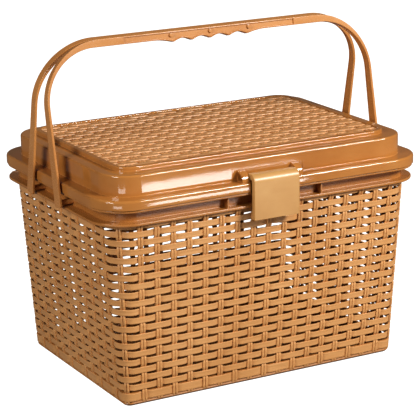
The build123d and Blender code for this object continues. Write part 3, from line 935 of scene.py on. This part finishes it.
def latch_details(shape):
    """Side returns, softened edges, knuckle, pins and snap bead."""
    sides = [f for f in shape.faces if is_inside(f)
             and abs(f.calc_center_median().x) > LATCH_HALF - LATCH_PLATE]
    bmesh.ops.inset_region(shape, faces=sides, thickness=0, depth=LATCH_RETURN)
    shape.normal_update()
    round_edges(shape, sharp_edges(shape), LATCH_ROUND, clamp=True)
    add_rod(shape, KNUCKLE, Vector((-LATCH_HALF + 0.0002, -HINGE_OUT, HINGE_HIGH)),
            Vector((LATCH_HALF - 0.0002, -HINGE_OUT, HINGE_HIGH)))
    reach = EAR_INNER + EAR_CHEEK + 0.0006
    add_rod(shape, PIN, Vector((-reach, -HINGE_OUT, HINGE_HIGH)),
            Vector((reach, -HINGE_OUT, HINGE_HIGH)), segments=20)
    inner_face = -LATCH_FACE + LATCH_PLATE
    add_block(shape, (LATCH_PLATE - LATCH_HALF, inner_face - 0.0006, RIM_LOW - BEAD_LOW),
              (LATCH_HALF - LATCH_PLATE, inner_face + BEAD, RIM_LOW - 0.0005))
    (ramp,) = [e for e in shape.edges
               if all(abs(v.co.y - inner_face - BEAD) < 1e-6
                      and abs(v.co.z - RIM_LOW + BEAD_LOW) < 1e-6 for v in e.verts)]
    round_edges(shape, [ramp], BEAD_RAMP, 1)


# %% Front and rear latch
for place in ("front", "rear"):
    latch = latch_shape()
    latch_details(latch)
    if place == "rear":
        bmesh.ops.transform(latch, matrix=HALF_ROUND, verts=latch.verts)
    finish_piece(latch, f"{place}_latch_clip", f"{place}_latch", latch_plastic,
                 f"{place}_latch", flat=True)

# %% [markdown]
# ## Bail handles
# A bail is a flat strap bent into an upside-down U, thin on the legs and deep along the grip. Its
# front view comes first: an outer and an inner line, each of four points with two corners
# bevelled as vertices. Bridged, they make a ladder of faces, which is cut crosswise where the
# finger hollows need points, then solidified to the bar's width. Scaling each vertex sideways
# by a width that depends on its height spreads the legs. The grip is recessed on its outer face,
# and a channel runs down the inside of each leg, so the walls of the moulding stay even. Both
# are inset faces pushed in.
# %% Bail sizes
PIVOT_OUT, PIVOT_HIGH, PEG, PEG_END = 0.0360, 0.2130, 0.0030, 0.1839
BAIL_HALF, BAIL_LEG, BAIL_WIDTH, BAIL_RISE = 0.2046, 0.0028, 0.0082, 0.1676
FOOT_WIDTH, BEND_WIDTH, FOOT_ROUND = 0.0150, 0.0108, 0.0030
BAIL_FOOT, BAIL_CORNER, BAR_DEPTH, BAR_GAP = 0.0052, 0.0670, 0.0084, 0.0004
FINGER, FINGER_DEPTH, FINGER_CUTS = 0.0232, 0.0034, 8
RECESS_HALF, RECESS_DEPTH = 0.1080, 0.0016
BOSS_GAP, BOSS = 0.0490, 0.0024
CHANNEL_LOW, CHANNEL_DEPTH = 0.0120, 0.0008
RECESS_BORDER, CHANNEL_BORDER = 0.0006, 0.0008
BAIL_ROUND, BEND_STEPS = 0.0006, 28
LEAN = (PIVOT_OUT - BAIL_WIDTH / 2 - BAR_GAP / 2) / BAIL_RISE


def bail_line(shape, half_x, rise, corner):
    """One open line of the front view, from foot to foot, and its edges."""
    older = set(shape.edges)
    line = [shape.verts.new(p) for p in ((-half_x, 0, -BAIL_FOOT), (-half_x, 0, rise),
                                         (half_x, 0, rise), (half_x, 0, -BAIL_FOOT))]
    for pair in zip(line, line[1:]):
        shape.edges.new(pair)
    round_corners(shape, line[1:3], corner, BEND_STEPS)
    return [e for e in shape.edges if e not in older]


def finger_drop(x):
    """How far the underside of the grip hangs down at x: cusps between round hollows."""
    steps = abs(x) / FINGER
    if steps <= 2:
        return FINGER_DEPTH * (1 - abs(sin(pi * steps)))
    return FINGER_DEPTH * max(0.0, 3 - steps) ** 2


def bail_width(height):
    """How wide the bail is at a height: wide feet, narrower at the bends, then the bar."""
    bend, bar = BAIL_RISE - BAIL_CORNER, BAIL_RISE - BAR_DEPTH
    if height < bend:
        return FOOT_WIDTH + (BEND_WIDTH - FOOT_WIDTH) * (height + BAIL_FOOT) / (bend + BAIL_FOOT)
    return BEND_WIDTH + (BAIL_WIDTH - BEND_WIDTH) * min((height - bend) / (bar - bend), 1)


def cut_across(shape, point, direction):
    """Cut the whole shape with a plane and keep both halves."""
    bmesh.ops.bisect_plane(shape, geom=shape.verts[:] + shape.edges[:] + shape.faces[:],
                           plane_co=point, plane_no=direction)


# %% Bail shape
def bail_blank():
    """The bail without its pegs: a solid bar of the right outline."""
    shape = bmesh.new()
    outer = bail_line(shape, BAIL_HALF, BAIL_RISE, BAIL_CORNER)
    inner = bail_line(shape, BAIL_HALF - BAIL_LEG, BAIL_RISE - BAR_DEPTH, BAIL_CORNER - BAR_DEPTH)
    bmesh.ops.bridge_loops(shape, edges=outer + inner)
    cuts = 3 * FINGER_CUTS
    for step in range(-cuts, cuts + 1):
        cut_across(shape, (step * FINGER / FINGER_CUTS, 0, 0), (1, 0, 0))
    for side in (-1, 1):
        cut_across(shape, (side * RECESS_HALF, 0, 0), (1, 0, 0))
    cut_across(shape, (0, 0, CHANNEL_LOW), (0, 0, 1))
    for vert in shape.verts:
        if abs(vert.co.z - BAIL_RISE + BAR_DEPTH) < 1e-5:
            vert.co.z -= finger_drop(vert.co.x)
    bmesh.ops.solidify(shape, geom=shape.faces[:], thickness=BAIL_WIDTH)
    middle = sum(v.co.y for v in shape.verts) / len(shape.verts)
    bmesh.ops.translate(shape, vec=(0, -middle, 0), verts=shape.verts)
    for vert in shape.verts:
        vert.co.y *= bail_width(vert.co.z) / BAIL_WIDTH
    bmesh.ops.recalc_face_normals(shape, faces=shape.faces)
    feet = [e for e in shape.edges
            if all(v.co.z < -BAIL_FOOT + 1e-5 for v in e.verts)
            and abs(e.verts[0].co.x - e.verts[1].co.x) > 0.001]
    round_edges(shape, feet, FOOT_ROUND, 6)
    shape.normal_update()
    round_edges(shape, sharp_edges(shape), BAIL_ROUND, 3)
    shape.normal_update()
    return shape


def press_in(shape, faces, border, depth):
    """Leave a border round a region of faces and push the rest in."""
    bmesh.ops.inset_region(shape, faces=faces, thickness=border, depth=0, use_even_offset=True)
    bmesh.ops.inset_region(shape, faces=faces, thickness=POCKET_DRAFT, depth=-depth,
                           use_even_offset=True)


def looks_inward(face):
    """True on the inner side of the legs and bends, above the channel's lower end."""
    middle = face.calc_center_median()
    inward = Vector((0, 0, 0.05)) - middle
    return (abs(face.normal.y) < 0.1 and face.normal.dot(inward) > 0
            and CHANNEL_LOW < middle.z < BAIL_RISE - BAR_DEPTH - 0.006)


def bail_details(shape):
    """Grip recess with its bosses, leg channels and pivot pegs."""
    grip = [f for f in shape.faces
            if f.normal.y < -0.99 and abs(f.calc_center_median().x) < RECESS_HALF]
    press_in(shape, grip, RECESS_BORDER, RECESS_DEPTH)
    legs = [f for f in shape.faces if looks_inward(f)]
    press_in(shape, legs, CHANNEL_BORDER, CHANNEL_DEPTH)
    for step in (-1, 0, 1):
        boss = bmesh.ops.create_cone(shape, cap_ends=True, segments=20, radius1=BOSS,
                                     radius2=BOSS, depth=RECESS_DEPTH + 0.0006)["verts"]
        bmesh.ops.rotate(shape, matrix=Matrix.Rotation(pi / 2, 3, "X"), verts=boss)
        bmesh.ops.translate(shape, vec=(step * BOSS_GAP, -BAIL_WIDTH / 2 + RECESS_DEPTH / 2,
                                        BAIL_RISE - BAR_DEPTH / 2), verts=boss)
        rims = {e for v in boss for e in v.link_edges
                if abs(e.verts[0].co.y - e.verts[1].co.y) < 1e-6}
        round_edges(shape, list(rims), 0.0005)
    for side in (-1, 1):
        ends = sorted((side * PEG_END, side * (BAIL_HALF - BAIL_LEG / 2)))
        add_rod(shape, PEG, Vector((ends[0], 0, 0)), Vector((ends[1], 0, 0)))


# %% Front and rear handle
stand_up = Matrix.Translation((0, -PIVOT_OUT, PIVOT_HIGH)) @ Matrix.Rotation(-asin(LEAN), 4, "X")
for place, placing in (("front", stand_up), ("rear", HALF_ROUND @ stand_up)):
    bail = bail_blank()
    bail_details(bail)
    bmesh.ops.transform(bail, matrix=placing, verts=bail.verts)
    finish_piece(bail, f"{place}_bail", f"{place}_handle", handle_plastic,
                 f"{place}_handle", flat=True)

# %% [markdown]
# The visual pieces must fill the same box as the CAD model. Both boxes are written down, so the
# two can be compared after every run.
# %% Write the sizes and finish
visual_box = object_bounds()
for label, box in (("CAD", cad_box), ("visual", visual_box)):
    print(label, [[round(1000 * c, 1) for c in corner] for corner in box])
